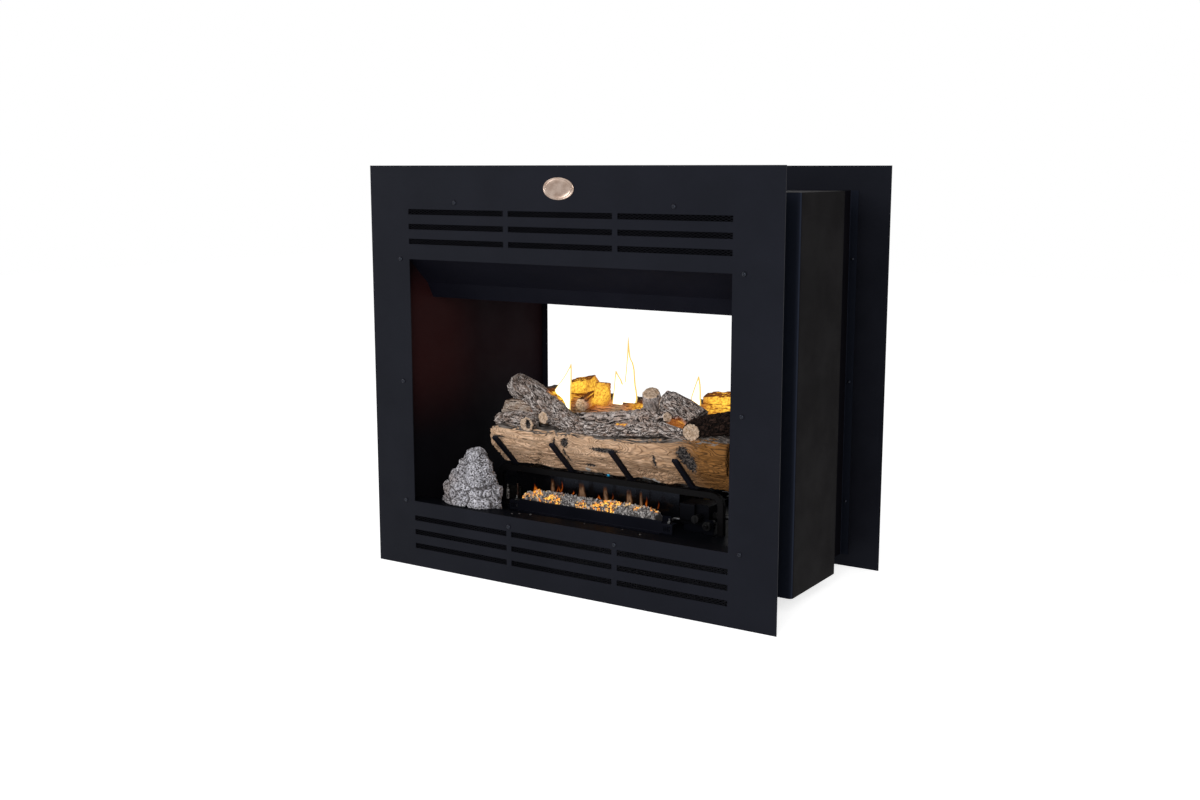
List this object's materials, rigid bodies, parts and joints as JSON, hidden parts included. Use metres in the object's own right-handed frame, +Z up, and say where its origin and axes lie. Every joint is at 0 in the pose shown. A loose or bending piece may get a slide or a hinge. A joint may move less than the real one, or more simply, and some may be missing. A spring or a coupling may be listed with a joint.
{
  "type": "fireplace insert",
  "caption": "See-through gas fireplace insert: black sheet-steel firebox open on two faces, with louvred face panels, side heat shields, grate, cast log set, ember trays and gas valve.",
  "frame": {"origin": "on the plane that the two face panels' lower edges stand on, at mid width and mid depth", "axes": "+X across the front to the right, +Y from the front face to the rear face, +Z up"},
  "size_m": [1.016, 0.539, 0.905],
  "materials": {
    "panel_black": "satin high-temperature black paint on laser-cut sheet steel",
    "casing_black": "matte high-temperature black paint on folded sheet steel",
    "shield_black": "satin black paint on thin folded sheet steel",
    "mesh_black": "black painted expanded steel",
    "hearth_black": "semi-gloss black paint on folded sheet steel",
    "burner_black": "glossy black enamel on folded sheet steel",
    "grate_black": "black painted square and flat steel bar",
    "plate_nickel": "polished nickel",
    "screw_black": "black oxide screw",
    "bright_steel": "zinc plated steel",
    "tube_aluminium": "bent aluminium tube",
    "valve_black": "black painted die-cast body",
    "fitting_brass": "machined brass",
    "probe_copper": "copper-coloured sheath",
    "probe_ceramic": null,
    "knob_black": "black heat-resistant plastic",
    "igniter_plastic": "black plastic barrel",
    "button_black": "black plastic button",
    "log_split": null,
    "log_bark": null,
    "ember_wool": null,
    "rock_stone": null
  },
  "bodies": {
    "root": {"front_fascia": "panel_black", "rear_fascia": "panel_black", "front_upper_mesh": "mesh_black", "front_lower_mesh": "mesh_black", "rear_upper_mesh": "mesh_black", "rear_lower_mesh": "mesh_black", "nameplate": "plate_nickel", "nameplate_rivets": "plate_nickel", "front_fascia_screws": "screw_black", "rear_fascia_screws": "screw_black", "left_side_wall": "casing_black", "right_side_wall": "casing_black", "left_heat_shield": "shield_black", "right_heat_shield": "shield_black", "top_panel": "casing_black", "firebox_ceiling": "casing_black", "top_divider": "casing_black", "bottom_pan": "casing_black", "hearth_floor": "hearth_black", "front_canopy": "casing_black", "rear_canopy": "casing_black", "front_grate_rail": "grate_black", "rear_grate_rail": "grate_black", "grate_fingers": "grate_black", "front_ember_tray": "hearth_black", "front_ember_bed": "ember_wool", "rear_ember_tray": "hearth_black", "rear_ember_bed": "ember_wool", "tray_brackets": "hearth_black", "tray_studs": "bright_steel", "burner_pan": "burner_black", "burner_port_plate": "burner_black", "burner_feet": "burner_black", "venturi_tube": "tube_aluminium", "orifice_fitting": "fitting_brass", "burner_supply_tube": "tube_aluminium", "pilot_tube": "tube_aluminium", "pilot_burner": "bright_steel", "pilot_bracket": "bright_steel", "thermocouple": "probe_copper", "spark_electrode": "probe_ceramic", "valve_bracket": "hearth_black", "valve_body": "valve_black", "valve_cover": "casing_black", "igniter_bracket": "hearth_black", "igniter_body": "igniter_plastic", "gas_supply_tube": "tube_aluminium", "gas_inlet_fitting": "fitting_brass", "front_log": "log_split", "rear_log": "log_split", "left_bark_log": "log_bark", "leaning_branch": "log_bark", "left_split_piece": "log_split", "forked_branch": "log_bark", "right_stub_log": "log_split", "right_top_log": "log_bark", "back_split_pieces": "log_split", "rock": "rock_stone"},
    "valve_spindle": {"valve_spindle": "fitting_brass"},
    "control_knob": {"control_knob": "knob_black"},
    "igniter_button": {"igniter_button": "button_black"}
  },
  "joints": [
    {"name": "gas_valve_turn", "type": "hinge", "parent": "root", "child": "valve_spindle", "pos_m": [0.252, -0.113, 0.17], "axis": [0, -1, 0], "range_deg": [0, 180]},
    {"name": "knob_push", "type": "slide", "parent": "valve_spindle", "child": "control_knob", "axis": [0, 1, 0], "range_m": [0, 0.004], "stiffness_N_per_m": 2000, "springref_m": -0.001},
    {"name": "igniter_press", "type": "slide", "parent": "root", "child": "igniter_button", "axis": [0, 1, 0], "range_m": [0, 0.005], "stiffness_N_per_m": 2000, "springref_m": -0.001}
  ]
}
